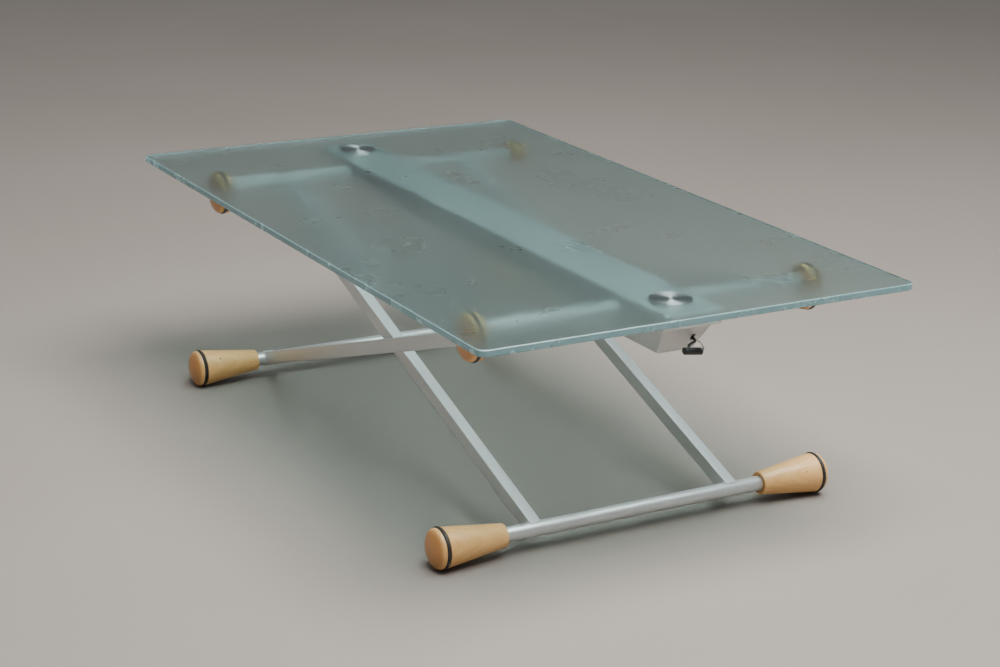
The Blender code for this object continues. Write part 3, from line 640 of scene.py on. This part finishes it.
def floor_wheels():
    for number, end in enumerate(ENDS):
        for word, side in SIDES.items():
            name = f"{end}_{word}"
            place = centre(name + "_ring")
            low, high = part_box(name + "_cone")
            small = -(place.y - low.y if side > 0 else high.y - place.y)
            corners = [(-BORE_END, 0), (-BORE_END, BORE_RADIUS), (small + CONE_SOCKET, BORE_RADIUS)]
            corners += [(small + CONE_SOCKET, SOCKET_RADIUS), (small, SOCKET_RADIUS, 0.0006)]
            corners += [(small, CONE_SMALL_RADIUS, 0.0020)]
            profile = [tuple(p) for p in outline(corners + rim())] + dome()
            grain = place + Vector((0.004 * side, side * (0.31 + 0.17 * number), 0.003))
            cone = add(name + "_wheel", turned(profile, place, (0, side, 0)), name + "_cone", origin=grain)
            pin = centre(name + "_pin")
            foot = Vector((place.x, pin.y, place.z))
            outward = (pin - foot).normalized()
            cut(cone, [rod(foot, foot + outward * 0.05, PIN_HOLE)])
            rubber_ring(name + "_tyre", name + "_ring", place, side)


def top_rollers():
    for number, end in enumerate(ENDS):
        for word, side in SIDES.items():
            name = f"{end}_top_{word}"
            place = centre(name + "_ring")
            low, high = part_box(name + "_roller")
            inner = -(place.y - low.y if side > 0 else high.y - place.y)
            face = CONE_BIG_RADIUS - ROLLER_FACE_STEP
            corners = [(-BORE_END, 0), (-BORE_END, BORE_RADIUS), (inner, BORE_RADIUS, 0.0005)]
            corners += [(inner, face, 0.0010), (inner + ROLLER_FACE_STEP, CONE_BIG_RADIUS, 0.0010)]
            profile = [tuple(p) for p in outline(corners + rim())] + dome()
            grain = place + Vector((0.002, side * (0.77 + 0.23 * number), 0.005 * side))
            add(name + "_wheel", turned(profile, place, (0, side, 0)), name + "_roller", origin=grain)
            rubber_ring(name + "_tyre", name + "_ring", place, side)


# ---- frame --------------------------------------------------------------------------------------


def round_tube(name, node, wall):
    place, reach = centre(node), half(node)
    outer, long = reach.z, reach.y
    inner = outer - wall
    corners = [(-long, inner, 0.0003), (-long, outer, 0.0005), (long, outer, 0.0005), (long, inner, 0.0003)]
    shape = turned(outline(corners, loop=True), place, (0, 1, 0), loop=True)
    add(name, shape, node, origin=place)


def tubes_and_axles():
    for end in ENDS:
        for level in ("floor", "top"):
            round_tube(f"{end}_{level}_cross_tube", f"{end}_{level}_tube", TUBE_WALL)
            round_tube(f"{end}_{level}_sleeve", f"{end}_{level}_axle", AXLE_WALL)


def leg_section(half_width, inset):
    """Rounded rectangle of (sideways, upwards) points, with extra points up its sides for the coped ends."""
    x, y = half_width - inset, LEG_HEIGHT / 2 - inset
    fillet = max(LEG_CORNER - inset, 0.0006)
    corners = []
    for step in range(-3, 4):
        corners.append((x, y * step / 4))
    corners += [(x, y, fillet), (-x, y, fillet)]
    for step in range(3, -4, -1):
        corners.append((-x, y * step / 4))
    corners += [(-x, -y, fillet), (x, -y, fillet)]
    return outline(corners, 5, loop=True)


def cope(height, radius):
    """How far from a tube's centre a leg stops at this height off its own middle line."""
    return sqrt(max(radius**2 - height**2, 0))


def leg(name, node, low_tube, high_tube):
    """Rectangular tube with rounded corners whose ends fit round the two cross tubes, and its welds."""
    y = centre(node).y
    foot, head = centre(low_tube), centre(high_tube)
    foot.y = head.y = y
    along = (head - foot).normalized()
    upright = Vector((-along.z, 0, along.x)) * (1 if along.x > 0 else -1)
    length = (head - foot).length
    radius = half(low_tube).z + COPE_GAP
    loops = []
    for inset, ends in ((0, (0, 1)), (LEG_WALL, (1, 0))):
        for end in ends:
            row = []
            for sideways, height in leg_section(half(node).y, inset):
                reach = cope(height, radius)
                place = foot + along * (length - reach if end else reach)
                row.append(place + Vector((0, sideways, 0)) + upright * height)
            loops.append(row)
    piece = add(name, loft(loops, caps=False, loop=True), node, origin=centre(node))
    beads = bmesh.new()
    for end in (0, 1):
        path = []
        for sideways, height in leg_section(half(node).y, 0):
            reach = cope(height, radius)
            place = foot + along * (length - reach if end else reach)
            path.append(place + Vector((0, sideways, 0)) + upright * height)
        bead = swept(path, WELD_RADIUS, 10, closed=True, ripple=lambda index: 1 + 0.12 * sin(index * 2.4))
        mesh = bpy.data.meshes.new("bead")
        bead.to_mesh(mesh)
        bead.free()
        beads.from_mesh(mesh)
        bpy.data.meshes.remove(mesh)
    add(name + "_welds", beads, node, origin=centre(node), sharp=80)
    return piece


def legs():
    pivot = centre("pivot_bolt_left")
    for word, side in SIDES.items():
        outer = leg("outer_" + word, "outer_leg_" + word, "far_floor_tube", "near_top_tube")
        inner = leg("inner_" + word, "inner_leg_" + word, "near_floor_tube", "far_top_tube")
        middle = centre("inner_leg_" + word).y
        start, end = (pivot.x, middle - BOLT_REACH, pivot.z), (pivot.x, middle + BOLT_REACH, pivot.z)
        cut(inner, [rod(start, end, BOLT_SHANK + BOLT_CLEARANCE)])
        middle = centre("outer_leg_" + word).y
        start, end = (pivot.x, middle - side * BOLT_REACH, pivot.z), (pivot.x, middle, pivot.z)
        cut(outer, [rod(start, end, BOLT_SHANK + BOLT_CLEARANCE)])


def pivots():
    """Shoulder bolts with a hexagon socket in the head, and their spacers."""
    for word, side in SIDES.items():
        node = "pivot_bolt_" + word
        low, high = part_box(node)
        place = Vector((centre(node).x, 0, centre(node).z))
        start, end = sorted((abs(low.y), abs(high.y)))
        head, shoulder = half(node).z, start + BOLT_HEAD
        corners = [(start, 0), (start, head, 0.0012), (shoulder, head, 0.0003), (shoulder, BOLT_SHANK)]
        corners += [(end, BOLT_SHANK, 0.0008), (end, 0)]
        shape = turned(outline(corners), place, (0, side, 0), sides=64)
        bolt = add(f"{word}_shoulder_bolt", shape, node, origin=centre(node))
        across = Vector((0, side, 0))
        mouth, bottom = place + across * (start - 0.001), place + across * (start + SOCKET_DEPTH)
        cut(bolt, [rod(mouth, bottom, SOCKET_ACROSS, sides=6)])
        node = "pivot_spacer_" + word
        low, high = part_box(node)
        start, end = sorted((abs(low.y), abs(high.y)))
        outer, inner = half(node).z, BOLT_SHANK + BOLT_CLEARANCE
        corners = [(start, inner, 0.0002), (start, outer, 0.0006), (end, outer, 0.0006), (end, inner, 0.0002)]
        shape = turned(outline(corners, loop=True), place, (0, side, 0), loop=True, sides=64)
        add(f"{word}_spacer", shape, node, origin=centre(node))


# ---- beam ---------------------------------------------------------------------------------------


def beam_share(z):
    """0 at the bottom of the beam, 1 at the glass."""
    return (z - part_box("beam_channel")[0].z) / BEAM_DEPTH


def beam_half(z, inset=0.0):
    slant = sqrt(1 + ((BEAM_HALF_TOP - BEAM_HALF_BOTTOM) / BEAM_DEPTH) ** 2)
    return BEAM_HALF_BOTTOM + (BEAM_HALF_TOP - BEAM_HALF_BOTTOM) * beam_share(z) - inset * slant


def beam_end(z):
    return BEAM_END_BOTTOM + (BEAM_END_TOP - BEAM_END_BOTTOM) * beam_share(z)


def travel_slot(z, radius):
    """Round-ended slot for the sliding tube, from the lift joint's two limits."""
    near, far = centre("near_top_tube"), centre("far_floor_tube")
    span = near - far
    length, rest = Vector((span.x, span.z)).length, atan2(span.z, span.x)
    lift = next(joint for joint in frame["joints"] if joint["name"] == "lift")
    start, end = (near.x - length * cos(rest + radians(turn)) for turn in lift["range_deg"])
    start, end = start - SLOT_MARGIN, end + SLOT_MARGIN
    points = []
    for middle, first in ((end, -90), (start, 90)):
        for step in range(17):
            angle = radians(first + 180 * step / 16)
            points.append((middle + radius * cos(angle), z + radius * sin(angle)))
    reach = BEAM_HALF_TOP + 0.01
    return loft([[(x, y, height) for x, height in points] for y in (-reach, reach)])


def beam_channel():
    low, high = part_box("beam_channel")
    floor = low.z + BEAM_SHEET
    inner_fillet = BEND_RADIUS - BEAM_SHEET
    corners = [(-beam_half(high.z), high.z), (-BEAM_HALF_BOTTOM, low.z, BEND_RADIUS)]
    corners += [(BEAM_HALF_BOTTOM, low.z, BEND_RADIUS), (beam_half(high.z), high.z)]
    inside_high, inside_low = beam_half(high.z, BEAM_SHEET), beam_half(floor, BEAM_SHEET)
    corners += [(inside_high, high.z), (inside_low, floor, inner_fillet)]
    corners += [(-inside_low, floor, inner_fillet), (-inside_high, high.z)]
    section = outline(corners, 6, loop=True)
    loops = [[(side * beam_end(z), y, z) for y, z in section] for side in (-1, 1)]
    channel = add("beam_shell", loft(loops), "beam_channel", bevel=0.0003)
    hole = centre("near_top_tube")
    radius = half("near_top_tube").z + TUBE_HOLE_GAP
    reach = Vector((0, BEAM_HALF_TOP + 0.01, 0))
    cut(channel, [travel_slot(hole.z, radius), rod(hole - reach, hole + reach, radius, 64)])


def beam_top_plate():
    low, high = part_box("beam_top_plate")
    end = high.x
    inside, under = end - TOP_PLATE_THICK, high.z - TOP_PLATE_THICK
    fillet = TOP_PLATE_FILLET
    inner_fillet = fillet - TOP_PLATE_THICK
    corners = [(-end, high.z, fillet), (end, high.z, fillet), (end, low.z), (inside, low.z)]
    corners += [(inside, under, inner_fillet), (-inside, under, inner_fillet)]
    corners += [(-inside, low.z), (-end, low.z)]
    section = outline(corners, 5, loop=True)
    shape = loft([[(x, y, z) for x, z in section] for y in (low.y, high.y)])
    plate = add("top_plate", shape, "beam_top_plate", bevel=0.0003)
    tools = []
    for word in ENDS:
        x = centre(word + "_glass_disc").x
        tools.append(rod((x, 0, under - 0.01), (x, 0, high.z + 0.01), STUD_HOLE))
    cut(plate, tools)


def end_plates():
    """Slanted plates welded into the ends of the channel; the near one has a slot for the lever."""
    for end, side in (("far", -1), ("near", 1)):
        node = end + "_end_plate"
        low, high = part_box(node)
        loops = []
        for depth in (END_PLATE_GAP, END_PLATE_GAP + BEAM_SHEET):
            row = []
            for z, sign in ((low.z, -1), (low.z, 1), (high.z, 1), (high.z, -1)):
                across = sign * (beam_half(z, BEAM_SHEET) - END_PLATE_GAP)
                row.append((side * (beam_end(z) - depth), across, z))
            loops.append(row)
        plate = add(end + "_closing_plate", loft(loops), node, bevel=0.0004)
        if end == "near":
            pivot, y = centre("release_pivot"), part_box("release_arm")[1].y - ARM_WIDTH / 2
            reach = ARM_WIDTH / 2 + 0.001
            low_corner = (pivot.x + 0.002, y - reach, pivot.z - 0.0080)
            high_corner = (pivot.x + 0.05, y + reach, pivot.z + 0.0032)
            cut(plate, [box(low_corner, high_corner)])


# ---- spring and release lever -------------------------------------------------------------------


def gas_spring():
    """Cylinder with a closed tail and a guide at its mouth, its rod, and the anchor behind it."""
    cylinder_low, cylinder_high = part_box("spring_cylinder")
    place = Vector((0, 0, centre("spring_cylinder").z))
    outer = half("spring_cylinder").z
    inner = outer - SPRING_WALL
    mouth, tail = cylinder_low.x, cylinder_high.x
    corners = [(tail - SPRING_BOTTOM, 0), (tail - SPRING_BOTTOM, inner), (mouth + SPRING_GUIDE, inner)]
    corners += [(mouth + SPRING_GUIDE, SPRING_BORE), (mouth, SPRING_BORE, 0.0004)]
    corners += [(mouth, outer - 0.0012, 0.0004), (mouth + 0.0030, outer, 0.0010)]
    corners += [(tail - 0.0030, outer, 0.0010), (tail, outer - 0.0012, 0.0004), (tail, 0)]
    shape = turned(outline(corners), place, (1, 0, 0), sides=64)
    add("gas_cylinder", shape, "spring_cylinder", origin=place)
    for name, node in (("gas_rod", "spring_rod"), ("gas_anchor", "spring_anchor")):
        low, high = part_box(node)
        radius = half(node).z
        corners = [(low.x, 0), (low.x, radius, 0.0006), (high.x, radius, 0.0006), (high.x, 0)]
        add(name, turned(outline(corners), place, (1, 0, 0), sides=64), node, origin=centre(node))


def release_arm():
    """Bell crank: eye on its pin, tail down to the rod, bent finger out to the grip."""
    pivot, grip = centre("release_pivot"), centre("release_grip")
    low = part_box("release_arm")[0]
    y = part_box("release_arm")[1].y - ARM_WIDTH / 2
    points = []
    for step in range(19):
        angle = radians(10 * step)
        points.append((pivot.x + EYE_RADIUS * cos(angle), pivot.z + EYE_RADIUS * sin(angle)))
    tail_x = pivot.x - TAIL_OFFSET
    points += outline([points[-1], (tail_x - TAIL_HALF, low.z, 0.0008), (tail_x + TAIL_HALF, low.z, 0.0008),
                       (pivot.x + 0.0035, pivot.z - EYE_RADIUS, 0.0010), points[0]])[1:-1]
    shape = loft([[(x, side, z) for x, z in points] for side in (y - ARM_WIDTH / 2, y + ARM_WIDTH / 2)])
    crank = add("lever_crank", shape, "release_arm", bevel=0.0006)
    start, end = Vector((pivot.x, y - 0.01, pivot.z)), Vector((pivot.x, y + 0.01, pivot.z))
    cut(crank, [rod(start, end, EYE_HOLE)])
    join_z = grip.z - (ARM_JOIN_Y - grip.y) * tan(GRIP_TILT) + GRIP_RADIUS + 0.0003
    spine = smooth_path([
        (pivot.x + 0.0032, y, pivot.z),
        (pivot.x + 0.0120, y, pivot.z - 0.0025),
        (grip.x - 0.0150, y + 0.0005, pivot.z - 0.0050),
        (grip.x - 0.0085, y - 0.0035, pivot.z - 0.0052),
        (grip.x - 0.0040, y - 0.0125, pivot.z - 0.0057),
        (grip.x - 0.0010, ARM_JOIN_Y + 0.0010, join_z + 0.0025),
        (grip.x, ARM_JOIN_Y, join_z + 0.0004),
    ], 10)
    loops = []
    for index, point in enumerate(spine):
        before, after = spine[max(index - 1, 0)], spine[min(index + 1, len(spine) - 1)]
        tangent = (after - before).normalized()
        across = Vector((-tangent.y, tangent.x, 0)).normalized()
        raised = tangent.cross(across).normalized()
        wide, high = ARM_WIDTH / 2 - 0.0003, ARM_THICK / 2
        corners = [(wide, high, 0.0011), (-wide, high, 0.0011), (-wide, -high, 0.0011), (wide, -high, 0.0011)]
        loops.append([point + across * u + raised * v for u, v in outline(corners, 4, loop=True)])
    add("lever_finger", loft(loops), "release_arm", sharp=50)


def release_grip():
    """Round grip with domed ends and a shallow groove near each, its free end a little lower."""
    place, along = centre("release_grip"), Vector((0, cos(GRIP_TILT), -sin(GRIP_TILT)))
    radius, long = GRIP_RADIUS, GRIP_LENGTH / 2
    corners = [(-long, 0), (-long, radius, 0.0022), (-long + 0.0040, radius, 0.0003)]
    corners += [(-long + 0.0043, radius - 0.0003, 0.0002), (-long + 0.0050, radius - 0.0003, 0.0002)]
    corners += [(-long + 0.0053, radius, 0.0003)]
    mirrored = [(-corner[0], *corner[1:]) for corner in corners[::-1]]
    shape = turned(outline(corners + mirrored, 6), place, along, sides=64)
    add("lever_grip", shape, "release_grip", origin=place)


def release_bail():
    """Chrome wire from beside the finger's bend to the free end of the grip."""
    pivot, grip = centre("release_pivot"), centre("release_grip")
    along = Vector((0, cos(GRIP_TILT), -sin(GRIP_TILT)))
    tip = grip + along * (GRIP_LENGTH / 2 + 0.0003)
    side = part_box("release_arm")[1].y
    route = [
        (grip.x - 0.0100, side + 0.0013, pivot.z - 0.0060),
        (grip.x - 0.0050, side + 0.0030, pivot.z - 0.0080),
        (grip.x - 0.0005, tip.y + 0.0030, tip.z + 0.0045),
        tip + along * 0.0028 + Vector((0, 0, 0.0012)),
        tip + along * 0.0018,
        tip,
    ]
    add("lever_wire", swept(smooth_path(route), BAIL_RADIUS, 14), "release_bail", sharp=60)


def release_pin():
    """Pivot pin of the lever, across the beam."""
    low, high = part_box("release_pivot")
    radius = half("release_pivot").z
    corners = [(low.y, 0), (low.y, radius, 0.0005), (high.y, radius, 0.0005), (high.y, 0)]
    place = centre("release_pivot")
    shape = turned(outline(corners), (place.x, 0, place.z), (0, 1, 0), sides=48)
    add("lever_pin", shape, "release_pivot", origin=place)


def finish_cad_nodes():
    """Nodes whose CAD shape is shown as it is get their slot's material."""
    for node, item in frame["nodes"].items():
        if node not in REPLACED:
            item.data.materials.clear()
            item.data.materials.append(LOOKS[SLOT_OF[node]])


# ---- stage --------------------------------------------------------------------------------------


def stage():
    """Plain pale floor."""
    shape = bmesh.new()
    bmesh.ops.create_grid(shape, x_segments=1, y_segments=1, size=40)
    mesh = bpy.data.meshes.new("floor")
    shape.to_mesh(mesh)
    shape.free()
    floor = bpy.data.objects.new("floor", mesh)
    bpy.context.scene.collection.objects.link(floor)
    graph = Graph("floor")
    tone = graph.noise(1.2, 2)
    color = graph.ramp(tone, 0.3, 0.7, (0.200, 0.175, 0.150), (0.214, 0.188, 0.162))
    mesh.materials.append(graph.set(Base_Color=color, Roughness=0.75))


def area_light(name, place, aim, size, power):
    light = bpy.data.lights.new(name, "AREA")
    light.shape = "RECTANGLE"
    light.size, light.size_y = size
    light.energy = power
    lamp = bpy.data.objects.new(name, light)
    lamp.location = place
    lamp.rotation_mode = "QUATERNION"
    lamp.rotation_quaternion = (Vector(aim) - Vector(place)).to_track_quat("-Z", "Y")
    bpy.context.scene.collection.objects.link(lamp)


def lights():
    """A large soft light overhead, a little towards the lever end, and a room that is darker low down."""
    area_light("overhead", (0.9, 0.35, 3.1), (0, 0, 0), (2.6, 2.0), 340)
    world = bpy.data.worlds.new("studio")
    world.use_nodes = True
    tree = world.node_tree
    direction, height = tree.nodes.new("ShaderNodeTexCoord"), tree.nodes.new("ShaderNodeSeparateXYZ")
    ramp = tree.nodes.new("ShaderNodeValToRGB")
    ramp.color_ramp.elements[0].position = 0.20
    ramp.color_ramp.elements[1].position = 0.95
    ramp.color_ramp.elements[0].color = (0.10, 0.115, 0.13, 1)
    ramp.color_ramp.elements[1].color = (0.95, 0.97, 1.00, 1)
    tree.links.new(direction.outputs["Generated"], height.inputs[0])
    tree.links.new(height.outputs["Z"], ramp.inputs["Fac"])
    tree.links.new(ramp.outputs["Color"], tree.nodes["Background"].inputs["Color"])
    tree.nodes["Background"].inputs["Strength"].default_value = 0.7
    bpy.context.scene.world = world


def camera():
    lens = bpy.data.cameras.new("camera")
    lens.lens, lens.sensor_width, lens.sensor_fit = CAMERA_LENS, CAMERA_SENSOR, "HORIZONTAL"
    item = bpy.data.objects.new("camera", lens)
    bpy.context.scene.collection.objects.link(item)
    turn, height, roll = (radians(angle) for angle in (CAMERA_TURN, CAMERA_HEIGHT, CAMERA_ROLL))
    back = Vector((cos(turn) * cos(height), sin(turn) * cos(height), sin(height)))
    level = Vector((0, 0, 1)).cross(back).normalized()
    upright = back.cross(level)
    right = level * cos(roll) + upright * sin(roll)
    up = upright * cos(roll) - level * sin(roll)
    matrix = Matrix((right, up, back)).transposed().to_4x4()
    matrix.translation = CAMERA_PLACE
    item.matrix_world = matrix
    bpy.context.scene.camera = item


camera()
lights()
stage()
glass_plate()
glass_discs()
floor_wheels()
top_rollers()
tubes_and_axles()
legs()
pivots()
beam_channel()
beam_top_plate()
end_plates()
gas_spring()
release_arm()
release_grip()
release_bail()
release_pin()
finish_cad_nodes()
